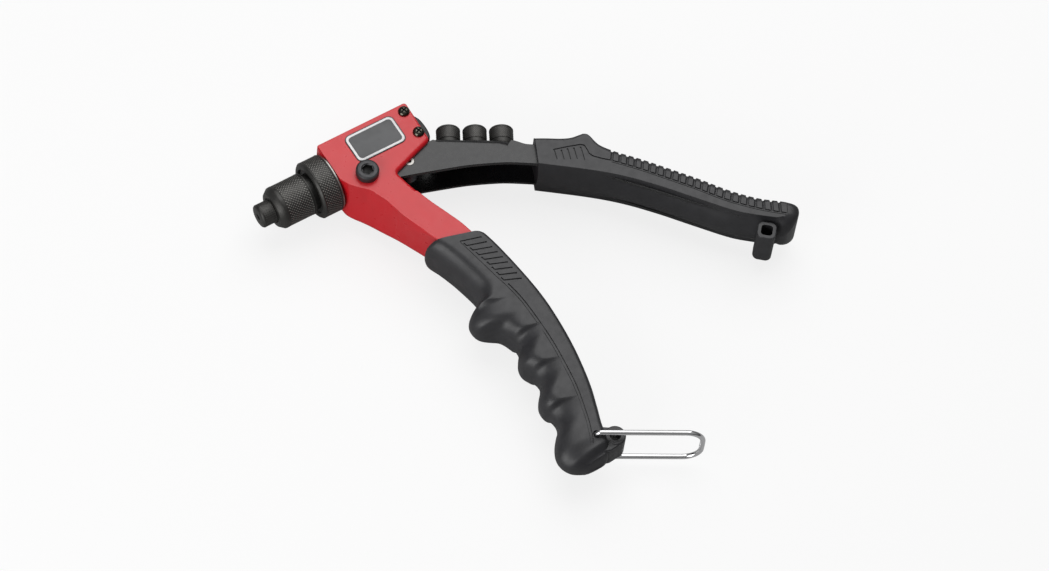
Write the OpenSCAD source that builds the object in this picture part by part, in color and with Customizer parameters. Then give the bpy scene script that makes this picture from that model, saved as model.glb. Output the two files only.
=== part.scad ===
// Hand riveter: long-arm blind-rivet tool with two handles, spare nosepieces and a wire lock bail.
// X runs along the nose axis, with the nose pointing to -X. Y points to the lever side. Z is across the
// width. The origin is the centre of the mounted nosepiece's front face, where a rivet's mandrel goes in.

/* [Nose] */
// Radius of a nosepiece's head
head_r = 5.9; // [5:0.1:6.2]
// Length of a nosepiece's head
head_len = 10.5; // [9.5:0.1:11]
// Mandrel bore radius of the mounted nosepiece
mandrel_r = 1.3; // [1:0.05:1.4]
// Distance from the mounted nosepiece's face to the sleeve's face
sleeve_x = 7.5; // [7:0.1:8]
// Outer radius of the front sleeve
sleeve_r = 10.7; // [10.4:0.1:12]
// Outer radius of the lock ring
ring_r = 14.6; // [12:0.1:16]

/* [Body] */
// Width of the body casting
body_w = 26.6; // [26:0.1:30]
// Thickness of each cheek beside the slot
cheek = 2.8; // [2.2:0.1:3]
// Height of the body's flat top above the nose axis
top_y = 13.9; // [13.5:0.1:16]
// Length and height of the blank name plate
plate_size = [26.9, 16.1]; // [12:0.1:30]

/* [Lever] */
// Lever travel from open to closed, in degrees
travel = 32; // [20:1:32]
// Width of the lever channel
lever_w = 20.3; // [19:0.1:20.6]
// Thickness of the lever's sheet steel
sheet = 1.8; // [1.2:0.1:1.8]
// Distance from one spare nosepiece to the next
spare_pitch = 12.85; // [12.6:0.05:13]

/* [Grips] */
// Width of the upper grip
upper_w = 26.4; // [24:0.1:30]
// Width of the lower grip at its collar
collar_w = 29.6; // [28:0.1:32]
// Width of the lower grip at its end, between the bail's legs
end_w = 21.2; // [18:0.1:21.4]

/* [Bail] */
// Radius of the bail's wire
wire_r = 1.25; // [1:0.05:1.4]
// Distance between the centres of the bail's legs
bail_w = 24.2; // [24:0.1:26]
// Distance from the bail's hinge to the centre of its cross wire
bail_len = 50.3; // [45:0.1:55]

/* [Hidden] */
$fn = 64;
far = 200;                      // long enough to cut through anything
run = 0.05;                     // radial running clearance
half_w = body_w / 2;
slot_w = body_w - 2 * cheek;

// Nose axis stations, from the nosepiece back to the pull rod
sleeve_end = 26.5;
ring_x = 28.5;
washer_x = 39;
front_x = 39.8;
slot_x = 45.5;
tube_r = 9;
tube_bore = 6.65;
shank_r = 4;
shank_end = 15.7;
case_x = 16;
case_r = 6.5;
cone_x = 28;                    // where the case's cone opens into its plain bore
cone_r = 3.3;                   // mouth radius of the cone
cone_angle = 9;
case_bore = cone_r + (cone_x - case_x) * tan(cone_angle);
rod_x = 37;
rod_thread_r = 4.9;
case_end = 41;
jam_end = 44.6;
rod_bore = 2.4;
tail_r = 3.9;
tail_end = 78;

// Lever geometry in the plane of the handles
pivot = [53.3, -11];
screw_r = 2.95;
lobe_arm = 11.44;               // pivot to the centre of a fork lobe
lobe_r = 3;
lobe_start = 8;                 // lobes lean this far towards the nose when the lever is open
lobe = pivot + lobe_arm * [-sin(lobe_start), cos(lobe_start)];
groove = 2 * (lobe_r + 0.1);
flange_r = 6;
flange_t = 2.5;
root_r = 4.4;
hub_r = 4.2;
lever_angle = -29.2;            // slope of the lever's straight top
lever_top = [92, -8.2];         // front end of the lever's top web
spring_pin_at = [75.4, -13.7];
pin_r = 2.5;
coil_r = 4.1;
coil_wire = 0.6;

// Rear cap and its screws
cap_x = [81.5, 92.1];
cap_y = [-7.6, 11.2];
cap_screws = [[86.1, 9.6], [86.4, -3.6]];

// Bail and its neighbours
bail_at = [75.2, -182.7];
bail_angle = -30;
bail_corner = 8;
eye_at = [83.5, -186.2];
eye_r = 5.1;
eye_bore = 2.7;
eye_len = 14.6;
catch_at = [204.3, -130.4];
catch_size = 9.2;
catch_hole = 5.6;
catch_len = 21.4;
catch_angle = -41;

// Points of a smooth curve through p, with n steps between neighbours (Catmull-Rom)
function at(p, i) = p[max(0, min(len(p) - 1, i))];
function blend4(a, b, c, d, t) =
    0.5 * (2 * b + (c - a) * t + (2 * a - 5 * b + 4 * c - d) * t * t + (3 * b - a - 3 * c + d) * t * t * t);
function curve(p, n = 4) = [
    for (i = [0:len(p) - 2], k = [0:n - 1]) blend4(at(p, i - 1), p[i], p[i + 1], at(p, i + 2), k / n),
    p[len(p) - 1]
];
function arc(c, r, a, b, n = 5) = [for (i = [0:n]) c + r * [cos(a + (b - a) * i / n), sin(a + (b - a) * i / n)]];
function dir(a) = [cos(a), sin(a)];
function backwards(p) = [for (i = [len(p) - 1:-1:0]) p[i]];

// Outline of the body casting, clockwise from its front top corner
shank_rear = [[66.3, -18.7], [68.4, -27.5], [71.4, -37.5], [75.1, -47], [78.5, -56], [80.5, -64]];
shank_front = [
    [63.9, -60], [58.4, -48.1], [54.2, -39.6], [50.9, -34], [46.2, -25.8], [41.6, -18.4]
];
body_outline = concat(
    arc([front_x + 1.3, top_y - 1.3], 1.3, 180, 90),
    arc([87.9, top_y - 1.5], 1.5, 90, 0),
    arc([86.6, -7.2], 2.8, 0, -75),
    arc([68.2, -18.4], 2, 105, 180),
    curve(shank_rear, 3),
    curve(shank_front, 3),
    arc([front_x + 3, -14.6], 3, 205, 180)
);
// The part of the shank inside the lower grip
core_outline = concat(
    curve([[80.5, -62], [83.3, -80], [85.5, -105], [84.8, -130], [80.5, -152], [78.5, -160]], 3),
    curve([[71, -160], [72.2, -145], [74, -125], [73, -105], [70.5, -82], [65, -57]], 3)
);
// The slot that the lever and the pull rod move in
slot_outline = [
    [slot_x, 11.4], [far, 11.4], [far, -49.5], [80, -49.5], [72.6, -40.7], [66.2, -33.2],
    [60, -26.2], [54, -19.8], [49.5, -18.2], [46.4, -14.8], [slot_x, -11]
];

// Outline of one lever cheek, clockwise from the front of its pivot end
grip_inner_top = [[133, -35.4], [141, -41.5], [151.5, -47.8], [158, -58.5], [180, -83.5], [203, -112]];
grip_inner_low = [[197, -117], [177, -94], [156, -70], [142, -57], [127.1, -44.4]];
lever_low = [[127.1, -44.4], [117.9, -38.6], [112.7, -35.8], [104, -31.8], [94.9, -28.2], [76.3, -22], [67.3, -19.2]];
web_line = concat(
    [lever_top, lever_top + 32 * dir(lever_angle)],
    curve([[121.6, -25], [125.7, -28.9], [129, -32.7], [133, -35.4]], 3),
    curve(grip_inner_top, 2)
);
cheek_outline = concat(
    arc(pivot, 6.5, 180, 75),
    [[63, -8.6], [91.4, -8.9]],
    web_line,
    curve(grip_inner_low, 2),
    curve(lever_low, 2),
    arc(pivot, 6.5, -75, -180)
);

// Outlines of the two grips
upper_top = [
    [134, -32.3], [138.5, -35.3], [144.7, -39], [149.2, -41.2], [153.3, -41.9], [155.9, -42.3],
    [157.3, -43.5], [158, -45.6], [158.6, -49], [159.8, -51.9], [163.4, -56.5], [172.8, -66.9],
    [182.4, -78.7], [191.9, -90.7], [201, -103], [211.2, -114], [220.4, -122]
];
upper_end = [[220.4, -122], [224.2, -127.2], [222.5, -131], [218, -133.8], [213.5, -134.6], [209.4, -132.2]];
upper_low = [
    [209.4, -132.2], [201.8, -125.1], [192, -116.2], [183.9, -106.5], [171.2, -90.4], [158.1, -75],
    [143.7, -61.5], [127, -48.4]
];
upper_outline = concat(curve(upper_top, 2), curve(upper_end, 3), curve(upper_low, 2));
lower_rear = [
    [83.4, -65.2], [85.1, -66.6], [87.2, -75.5], [89.7, -91.3], [91.5, -106.3], [91.7, -120],
    [90.2, -140], [86.9, -158.3], [83.8, -169.3], [80.6, -178], [79, -186], [77, -192]
];
lower_front = [
    [74.5, -193.9], [66.5, -193], [58.5, -189.7], [54.9, -183.7], [57, -175.9], [62.4, -169.4],
    [64, -163.5], [62, -156.5], [63.5, -151], [68, -145.2], [67.9, -141], [65, -133.5], [65.8, -129.1],
    [69.3, -123], [68.5, -118], [64.7, -111.5], [57.9, -107.3], [56.1, -102], [58.9, -97.4],
    [64.6, -95], [66.4, -91], [66, -86], [63, -73.5], [58.1, -58.1]
];
lower_outline = concat(curve(lower_rear, 3), curve(lower_front, 3));
// Half-width of the lower grip down its length
lower_widths = [
    [-40, collar_w / 2], [-75, collar_w / 2 - 0.4], [-120, collar_w / 2 - 1.6], [-155, 11.9],
    [-172, end_w / 2], [-210, end_w / 2]
];

// A prism across the width, centred on the plane of the handles
module across(w) {
    translate([0, 0, -w / 2]) linear_extrude(w) children();
}

// A straight cylinder across the width at p
module cross_bar(p, r, w) {
    translate([p[0], p[1], -w / 2]) cylinder(r = r, h = w);
}

// Children drawn along +Z come out along the nose axis from x
module on_nose(x = 0) {
    translate([x, 0, 0]) rotate([0, 90, 0]) children();
}

// A tube along the nose axis
module nose_ring(x0, x1, r, bore) {
    on_nose(x0) difference() {
        cylinder(r = r, h = x1 - x0);
        translate([0, 0, -1]) cylinder(r = bore, h = x1 - x0 + 2);
    }
}

// A turned part on the nose axis: points are [x, r] of its section
module turned(points) {
    on_nose() rotate_extrude() polygon([for (p = points) [p[1], p[0]]]);
}

module hexagon(flats, h) {
    cylinder(r = flats / sqrt(3), h = h, $fn = 6);
}

// Wire swept along a list of points, as a closed mesh
module swept_wire(path, r, sides = 8) {
    last = len(path) - 1;
    function tangent(i) = let (t = path[min(last, i + 1)] - path[max(0, i - 1)]) t / norm(t);
    function side_way(i) = let (c = cross(tangent(i), abs(tangent(i)[2]) > 0.9 ? [1, 0, 0] : [0, 0, 1])) c / norm(c);
    points = [
        for (i = [0:last]) let (u = side_way(i), v = cross(tangent(i), u))
            for (k = [0:sides - 1]) path[i] + r * (u * cos(360 * k / sides) + v * sin(360 * k / sides))
    ];
    walls = [
        for (i = [0:last - 1], k = [0:sides - 1]) let (a = i * sides + k, b = i * sides + (k + 1) % sides)
            [a, a + sides, b + sides, b]
    ];
    ends = [[for (k = [0:sides - 1]) k], [for (k = [sides - 1:-1:0]) last * sides + k]];
    polyhedron(points, concat(walls, ends), convexity = 8);
}

// One nosepiece with its face at z = 0 and its threaded shank towards +Z
module nosepiece_shape(bore) {
    difference() {
        rotate_extrude() polygon([
            [0, 0], [head_r - 0.7, 0], [head_r, 0.7], [head_r, 7.3], [head_r - 0.35, 7.5],
            [head_r, 7.7], [head_r, head_len], [shank_r, head_len], [shank_r, shank_end - 0.6],
            [shank_r - 0.6, shank_end], [0, shank_end]
        ]);
        translate([0, 0, -1]) cylinder(r = bore, h = shank_end + 2);
    }
}

module body_casting() {
    color("crimson") difference() {
        union() {
            across(body_w) polygon(body_outline);
            across(18) polygon(core_outline);
        }
        across(slot_w) polygon(slot_outline);
        on_nose(front_x - 1) cylinder(r = tube_r, h = 10);
        cross_bar(pivot, screw_r + run, body_w + 2);
        for (p = cap_screws) cross_bar(p, 1.55, body_w + 2);
        // The front of the shank slopes back towards the plate side
        translate([34, -36, -8]) cylinder(r1 = 15.9, r2 = 22.5, h = half_w + 9);
    }
}

module lower_grip() {
    color("#2a2a2c") difference() {
        union() {
            intersection() {
                across(collar_w) polygon(lower_outline);
                lower_width_prism();
            }
            across(eye_len) bail_eye_outline();
        }
        across(body_w) polygon(body_outline);
        across(18) polygon(core_outline);
        cross_bar(eye_at, eye_bore, eye_len + 2);
        for (s = [-1, 1]) on_side(s) translate([bail_at[0], bail_at[1], 7.1]) {
            cylinder(r = wire_r + run, h = 4);
            translate([0, 0, 2.3]) cylinder(r = wire_r + 0.75, h = 4);
        }
    }
}

// The side view of the tether eye: a round end on a short neck
module bail_eye_outline() {
    translate(eye_at) circle(r = eye_r);
    translate(eye_at) rotate(bail_angle) translate([-7, -eye_r]) square([7, 2 * eye_r]);
}

// A solid as long as the handle, as wide as the lower grip is at each height
module lower_width_prism() {
    edge = [for (p = lower_widths) [p[0], p[1]]];
    other = [for (p = backwards(lower_widths)) [p[0], -p[1]]];
    translate([40, 0, 0]) rotate([90, 0, 90]) linear_extrude(60) polygon(concat(edge, other));
}

module name_plate() {
    corner = 3;
    inset = plate_size / 2 - [corner, corner];
    color("dimgray") translate([66.3, 3.2, half_w]) difference() {
        plate_layer(inset, corner, 0.5);
        translate([0, 0, 0.35]) plate_layer(inset, corner - 1.3, 1);
    }
}

// A plate with round corners: centres at +-inset
module plate_layer(inset, r, h) {
    for (x = [-1, 1], y = [-1, 1]) translate([x * inset[0], y * inset[1], 0]) cylinder(r = r, h = h);
    translate([-inset[0], -inset[1] - r, 0]) cube([2 * inset[0], 2 * (inset[1] + r), h]);
    translate([-inset[0] - r, -inset[1], 0]) cube([2 * (inset[0] + r), 2 * inset[1], h]);
}

module pivot_screw() {
    color("#303030") translate([pivot[0], pivot[1], half_w]) difference() {
        union() {
            rotate_extrude() polygon([[0, 0], [5.6, 0], [5.6, 3.2], [5.2, 3.8], [4.6, 4], [0, 4]]);
            translate([0, 0, -body_w - 6.2]) cylinder(r = screw_r, h = body_w + 7);
        }
        translate([0, 0, 1.4]) hexagon(5, 5);
    }
}

module pivot_nut() {
    color("#303030") translate([pivot[0], pivot[1], -half_w - 5]) difference() {
        union() {
            translate([0, 0, 1]) hexagon(10, 4);
            cylinder(r = 4.6, h = 2);
        }
        translate([0, 0, -1]) cylinder(r = screw_r + run, h = 8);
    }
}

module rear_cap() {
    bulge = curve([
        [88.2, 8.6], [89.8, 7.4], [91.1, 5.4], [91.9, 2.6], [cap_x[1], -2.6], [91.4, -6.2], [90.4, cap_y[0]]
    ], 3);
    color("#222222") difference() {
        across(slot_w - 0.2) polygon(concat(
            [[cap_x[0], cap_y[0]], [cap_x[0], cap_y[1]], [87, cap_y[1]]], bulge
        ));
        on_nose(cap_x[0] - 1) cylinder(r = tail_r + 0.3, h = 20);
        for (p = cap_screws) cross_bar(p, 1.5, body_w);
    }
}

// Four screws, two through each cheek into the rear cap
module rear_cap_screws() {
    color("#303030") for (p = cap_screws, s = [0, 1])
        translate([p[0], p[1], 0]) rotate([180 * s, 0, 0]) translate([0, 0, half_w]) difference() {
            union() {
                rotate_extrude() polygon([[0, 0], [2.85, 0], [2.85, 0.7], [2.4, 1.5], [1.5, 1.95], [0, 2.05]]);
                translate([0, 0, -7]) cylinder(r = 1.45, h = 7.5);
            }
            for (a = [45, 135]) rotate(a) translate([-1.6, -0.3, 1.1]) cube([3.2, 0.6, 2]);
        }
}

module nose_tube() {
    color("gray") nose_ring(case_x + 0.5, slot_x, tube_r, tube_bore);
}

module nose_washer() {
    color("silver") nose_ring(washer_x, front_x, 14.2, tube_r + run);
}

module lever_channel() {
    inside = concat([for (p = web_line) p - sheet * [0.55, 0.84]], [[190, -140], [60, -60], [60, -11]]);
    color("#1c1c1e") difference() {
        across(lever_w) polygon(cheek_outline);
        across(lever_w - 2 * sheet) polygon(inside);
        across(lever_w - 2 * sheet) translate([40, -30]) square([51.2, 40]);
        cross_bar(pivot, screw_r + run, lever_w + 2);
        cross_bar(spring_pin_at, pin_r, lever_w + 2);
        for (i = [-1:1]) spare_axis(i) translate([0, 0, -6]) cylinder(r = shank_r + run, h = 10);
    }
}

// Two cam arms on a hub: their round ends sit in the pull rod's groove
module lever_fork() {
    inner = root_r + 0.2;
    outer = lever_w / 2 - sheet;
    color("gray") difference() {
        union() {
            cross_bar(pivot, hub_r, 2 * outer);
            for (s = [-1, 1]) translate([0, 0, s * (inner + outer) / 2]) {
                cross_bar(lobe, lobe_r, outer - inner);
                across(outer - inner) translate(pivot) rotate(lobe_start) translate([-1.35, 0])
                    square([2.7, lobe_arm]);
            }
        }
        cross_bar(pivot, screw_r + run, lever_w);
    }
}

module upper_grip() {
    color("#2a2a2c") difference() {
        union() {
            across(upper_w) polygon(upper_outline);
            across(catch_len) catch_outline(catch_size, 2.9);
        }
        across(lever_w) polygon(cheek_outline);
        across(lever_w - 2 * sheet) translate([100, -46]) rotate(-35) square([40, 12]);
        across(catch_len + 2) catch_outline(catch_hole, 1.6);
    }
}

// A square with round corners, turned to lie along the end of the upper grip
module catch_outline(size, r) {
    flat = size / 2 - r;
    translate(catch_at) rotate(catch_angle) {
        square([size, 2 * flat], center = true);
        square([2 * flat, size], center = true);
        for (x = [-1, 1], y = [-1, 1]) translate([x * flat, y * flat]) circle(r = r);
    }
}

module spring_pin() {
    color("silver") cross_bar(spring_pin_at, pin_r, lever_w + 0.1);
}

// Torsion spring on the spring pin, with one leg under the lever's web and one on the body
module return_spring() {
    steps = 90;
    first_angle = 79.7;
    last_angle = 163.4;
    sweep = 5 * 360 + last_angle - first_angle;
    half = sweep / 360 * (coil_wire + 0.08);
    function coil(i) = let (a = first_angle + sweep * i / steps)
        [spring_pin_at[0] + coil_r * cos(a), spring_pin_at[1] + coil_r * sin(a), half * (2 * i / steps - 1)];
    helix = [for (i = [0:steps]) coil(i)];
    lever_leg = helix[0] + 18 * [sin(first_angle), -cos(first_angle), 0];
    body_leg = helix[steps] + 19.5 * [-sin(last_angle), cos(last_angle), 0];
    color("lightgray") swept_wire(concat([lever_leg], helix, [body_leg]), coil_wire);
}

// Children stand on the lever's top web at spare i, with +Z pointing out of the web
module spare_axis(i) {
    foot = lever_top + (20.9 + i * spare_pitch) * dir(lever_angle);
    translate([foot[0], foot[1], 0]) rotate([0, 0, lever_angle]) rotate([-90, 0, 0]) children();
}

// A spare nosepiece screwed into the lever, head outwards
module spare(i, bore) {
    color("#303030") spare_axis(i) translate([0, 0, head_len + 0.03]) rotate([180, 0, 0]) nosepiece_shape(bore);
}

module spare_nosepiece_1() {
    spare(-1, 1.0);
}

module spare_nosepiece_2() {
    spare(0, 1.6);
}

module spare_nosepiece_3() {
    spare(1, 1.9);
}

// Tube with a grooved spool that the fork pulls
module pull_rod() {
    g0 = lobe[0] - groove / 2;
    g1 = lobe[0] + groove / 2;
    color("gray") turned([
        [rod_x, rod_bore], [rod_x, rod_thread_r], [g0 - flange_t - 0.3, rod_thread_r],
        [g0 - flange_t, flange_r], [g0, flange_r], [g0, root_r], [g1, root_r], [g1, flange_r],
        [g1 + flange_t, flange_r], [g1 + flange_t, tail_r], [tail_end, tail_r], [tail_end, rod_bore]
    ]);
}

module jam_nut() {
    color("gray") on_nose(case_end) difference() {
        hexagon(11, jam_end - case_end);
        translate([0, 0, -1]) cylinder(r = rod_thread_r + run, h = 10);
    }
}

// Housing with the cone that closes the jaws
module jaw_case() {
    color("darkgray") turned([
        [case_x, cone_r], [case_x, case_r - 0.8], [case_x + 0.8, case_r], [case_end, case_r],
        [case_end, rod_thread_r + run], [rod_x - 0.3, rod_thread_r + run], [rod_x - 0.3, case_bore],
        [cone_x, case_bore]
    ]);
}

// One third of the jaw cone, with flat sides clear of its neighbours
module jaw(i) {
    front = case_x + 0.2;
    rear = front + 10;
    gap = 0.08;
    grow = tan(cone_angle);
    r0 = cone_r + (front - case_x) * grow - gap;
    r1 = cone_r + (rear - case_x) * grow - gap;
    side_gap = 0.35;
    color("silver") intersection() {
        turned([[front, 1.5], [front, r0], [rear, r1], [rear, 1.5]]);
        translate([front - 1, 0, 0]) rotate([120 * i, 0, 0]) rotate([90, 0, 90]) linear_extrude(12) polygon([
            side_gap / sin(60) * [0, 1],
            side_gap / sin(60) * [0, 1] + 10 * dir(30),
            side_gap / sin(60) * [0, 1] + 10 * dir(150)
        ]);
    }
}

module jaw_1() {
    jaw(0);
}

module jaw_2() {
    jaw(1);
}

module jaw_3() {
    jaw(2);
}

module jaw_pusher() {
    x0 = case_x + 10.3;
    color("silver") turned([
        [x0, 2.2], [x0, 4.4], [29, 4.4], [29, case_bore - run], [31, case_bore - run], [31, 3.2],
        [34.5, 3.2], [34.5, 2.2]
    ]);
}

module pusher_spring() {
    x0 = 31.5;
    x1 = rod_x - 0.5;
    turns = 4;
    steps = 16;
    function coil(i) = let (a = 360 * i / steps, m = 4.1)
        [x0 + (x1 - x0) * i / (turns * steps), m * cos(a), m * sin(a)];
    color("lightgray") swept_wire([for (i = [0:turns * steps]) coil(i)], 0.4);
}

// Sleeve that carries the mounted nosepiece and covers the jaws
module front_sleeve() {
    bore = tube_r + run;
    color("#303030") turned([
        [sleeve_x, head_r + 0.5], [sleeve_x, sleeve_r - 2.2], [sleeve_x + 2.7, sleeve_r],
        [24, sleeve_r], [24.2, sleeve_r - 0.5], [24.8, sleeve_r - 0.5], [25, sleeve_r],
        [sleeve_end - 0.6, sleeve_r], [sleeve_end, sleeve_r - 0.6], [sleeve_end, bore],
        [case_x, bore], [case_x, tube_bore], [14, tube_bore], [14, shank_r + run],
        [head_len + 0.05, shank_r + run], [head_len + 0.05, head_r + 0.5]
    ]);
}

module lock_ring() {
    bore = tube_r + run;
    edge = arc([ring_x + 2.2, ring_r - 2.2], 2.2, 180, 90, 4);
    color("#303030") turned(concat(
        [[ring_x, bore]], edge,
        [[washer_x - 0.5, ring_r], [washer_x, ring_r - 0.5], [washer_x, bore]]
    ));
}

module nosepiece() {
    color("#303030") on_nose() nosepiece_shape(mandrel_r);
}

// Sprung wire loop that holds the handles shut
module bail() {
    reach = bail_len - bail_corner;
    leg_z = bail_w / 2;
    turn_in = 2.4;
    color("silver") translate([bail_at[0], bail_at[1], 0]) rotate([0, 0, bail_angle]) {
        for (s = [-1, 1]) on_side(s) {
            translate([turn_in, 0, leg_z]) rotate([0, 90, 0]) cylinder(r = wire_r, h = reach - turn_in);
            translate([turn_in, 0, leg_z - turn_in]) rotate([90, 0, 180]) rotate_extrude(angle = 90)
                translate([turn_in, 0]) circle(r = wire_r, $fn = 24);
            translate([0, 0, 7.4]) cylinder(r = wire_r, h = leg_z - turn_in - 7.4);
            translate([reach, 0, leg_z - bail_corner]) rotate([90, 0, 0]) rotate_extrude(angle = 90)
                translate([bail_corner, 0]) circle(r = wire_r, $fn = 24);
        }
        translate([bail_len, 0, bail_corner - leg_z]) cylinder(r = wire_r, h = 2 * (leg_z - bail_corner));
    }
}

// Mirrors across the plane of the handles when s is -1
module on_side(s) {
    mirror([0, 0, s < 0 ? 1 : 0]) children();
}

body_casting();
lower_grip();
name_plate();
pivot_screw();
pivot_nut();
rear_cap();
rear_cap_screws();
nose_tube();
nose_washer();
lever_channel();
lever_fork();
upper_grip();
spring_pin();
return_spring();
spare_nosepiece_1();
spare_nosepiece_2();
spare_nosepiece_3();
pull_rod();
jam_nut();
jaw_case();
jaw_1();
jaw_2();
jaw_3();
jaw_pusher();
pusher_spring();
front_sleeve();
lock_ring();
nosepiece();
bail();
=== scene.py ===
import math

import bmesh
import bpy
from mathutils import Matrix, Vector


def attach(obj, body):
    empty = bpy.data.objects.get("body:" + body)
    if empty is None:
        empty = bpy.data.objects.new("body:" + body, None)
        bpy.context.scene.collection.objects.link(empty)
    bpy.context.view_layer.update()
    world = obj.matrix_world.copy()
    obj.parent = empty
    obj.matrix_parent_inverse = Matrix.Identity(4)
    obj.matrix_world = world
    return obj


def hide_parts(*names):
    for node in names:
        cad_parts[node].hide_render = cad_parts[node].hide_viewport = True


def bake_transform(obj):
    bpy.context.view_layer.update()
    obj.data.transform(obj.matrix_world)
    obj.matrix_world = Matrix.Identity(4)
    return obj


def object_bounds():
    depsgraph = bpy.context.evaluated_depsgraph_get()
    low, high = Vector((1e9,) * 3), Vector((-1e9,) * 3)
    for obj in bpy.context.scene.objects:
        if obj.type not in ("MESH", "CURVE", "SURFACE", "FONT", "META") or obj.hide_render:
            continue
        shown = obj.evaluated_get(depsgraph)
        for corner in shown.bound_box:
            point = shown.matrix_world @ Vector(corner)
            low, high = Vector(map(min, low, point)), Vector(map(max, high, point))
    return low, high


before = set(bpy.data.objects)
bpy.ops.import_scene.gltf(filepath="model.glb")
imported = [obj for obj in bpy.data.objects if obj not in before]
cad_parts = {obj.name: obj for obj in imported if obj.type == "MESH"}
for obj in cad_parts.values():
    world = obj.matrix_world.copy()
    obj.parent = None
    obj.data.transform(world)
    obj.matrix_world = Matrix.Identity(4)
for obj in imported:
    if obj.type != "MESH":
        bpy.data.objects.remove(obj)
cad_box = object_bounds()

MM = 0.001
TAU = 2 * math.pi


# ---------------------------------------------------------------- curves

def catmull(points, n):
    """A smooth curve through the points, with n steps between neighbours."""
    out = []
    last = len(points) - 1
    for i in range(last):
        a, b, c, d = (Vector(points[min(max(j, 0), last)]) for j in (i - 1, i, i + 1, i + 2))
        for k in range(n):
            t = k / n
            out.append(0.5 * (2 * b + (c - a) * t + (2 * a - 5 * b + 4 * c - d) * t * t
                              + (3 * b - a - 3 * c + d) * t ** 3))
    out.append(Vector(points[last]))
    return out


def arc(centre, r, start, end, n=6):
    """Points on an arc, in degrees."""
    return [Vector((centre[0] + r * math.cos(math.radians(start + (end - start) * i / n)),
                    centre[1] + r * math.sin(math.radians(start + (end - start) * i / n)))) for i in range(n + 1)]


def vectors(points):
    return [Vector(p) for p in points]


def lengths(points):
    total = [0.0]
    for a, b in zip(points, points[1:]):
        total.append(total[-1] + (b - a).length)
    return total


def along(points, total, s):
    """The point at arc length s."""
    s = min(max(s, 0.0), total[-1])
    low, high = 0, len(total) - 1
    while high - low > 1:
        mid = (low + high) // 2
        if total[mid] <= s:
            low = mid
        else:
            high = mid
    span = total[high] - total[low]
    return points[low].lerp(points[high], (s - total[low]) / span if span else 0.0)


def nearest_length(points, total, p):
    """Arc length of the curve's point nearest to p."""
    best = min(range(len(points)), key=lambda i: (points[i] - p).length)
    return total[best]


def blend_table(table, x):
    """Smooth interpolation in a table of (x, value)."""
    if x <= table[0][0]:
        return table[0][1]
    for (x0, y0), (x1, y1) in zip(table, table[1:]):
        if x <= x1:
            t = (x - x0) / (x1 - x0)
            return y0 + (y1 - y0) * t * t * (3 - 2 * t)
    return table[-1][1]


# ---------------------------------------------------------------- meshes

def finish_mesh(obj, angle=32, weighted=False):
    mesh = obj.data
    mesh.validate()
    bm = bmesh.new()
    bm.from_mesh(mesh)
    bmesh.ops.recalc_face_normals(bm, faces=bm.faces)
    bm.to_mesh(mesh)
    bm.free()
    for polygon in mesh.polygons:
        polygon.use_smooth = True
    mesh.set_sharp_from_angle(angle=math.radians(angle))
    if weighted:
        modifier = obj.modifiers.new("normals", "WEIGHTED_NORMAL")
        modifier.keep_sharp = True
        modifier.weight = 90


def new_object(name, verts, faces, material=None):
    """A mesh object from points in millimetres."""
    mesh = bpy.data.meshes.new(name)
    mesh.from_pydata([tuple(MM * c for c in v) for v in verts], [], faces)
    obj = bpy.data.objects.new(name, mesh)
    bpy.context.scene.collection.objects.link(obj)
    if material:
        mesh.materials.append(material)
    return obj


def rings(name, loops, material=None, closed=False, caps=True):
    """A skin over loops of equal length; closed joins the last loop to the first."""
    count = len(loops[0])
    verts = [p for loop in loops for p in loop]
    faces = []
    spans = len(loops) if closed else len(loops) - 1
    for i in range(spans):
        j = (i + 1) % len(loops)
        for k in range(count):
            m = (k + 1) % count
            faces.append((i * count + k, i * count + m, j * count + m, j * count + k))
    if caps and not closed:
        faces.append(tuple(range(count - 1, -1, -1)))
        faces.append(tuple((len(loops) - 1) * count + k for k in range(count)))
    return new_object(name, verts, faces, material)


def lathe(name, profile, material=None, seg=128, cap=False):
    """Turns a profile of (x, r) round the X axis. A profile with a bore is a closed loop."""
    loops = []
    for i in range(seg):
        a = TAU * i / seg
        loops.append([(x, r * math.cos(a), r * math.sin(a)) for x, r in profile])
    if not cap:
        return rings(name, loops, material, closed=True)
    count = len(profile)
    verts = [p for loop in loops for p in loop]
    faces = []
    for i in range(seg):
        j = (i + 1) % seg
        for k in range(count - 1):
            faces.append((i * count + k, i * count + k + 1, j * count + k + 1, j * count + k))
    faces.append(tuple(i * count for i in range(seg)))
    faces.append(tuple(i * count + count - 1 for i in range(seg - 1, -1, -1)))
    return new_object(name, verts, faces, material)


def outline_normals(outline):
    """Outward normals of a closed outline, longer at corners so that an inset keeps its width."""
    area = sum(a.x * b.y - b.x * a.y for a, b in zip(outline, outline[1:] + outline[:1]))
    side = 1 if area > 0 else -1
    out = []
    n = len(outline)
    for i in range(n):
        before = (outline[i] - outline[i - 1]).normalized()
        after = (outline[(i + 1) % n] - outline[i]).normalized()
        a = Vector((before.y, -before.x)) * side
        b = Vector((after.y, -after.x)) * side
        mid = (a + b)
        if mid.length < 1e-6:
            mid = a
        mid.normalize()
        out.append(mid / max(0.5, mid.dot(a)))
    return out


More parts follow.
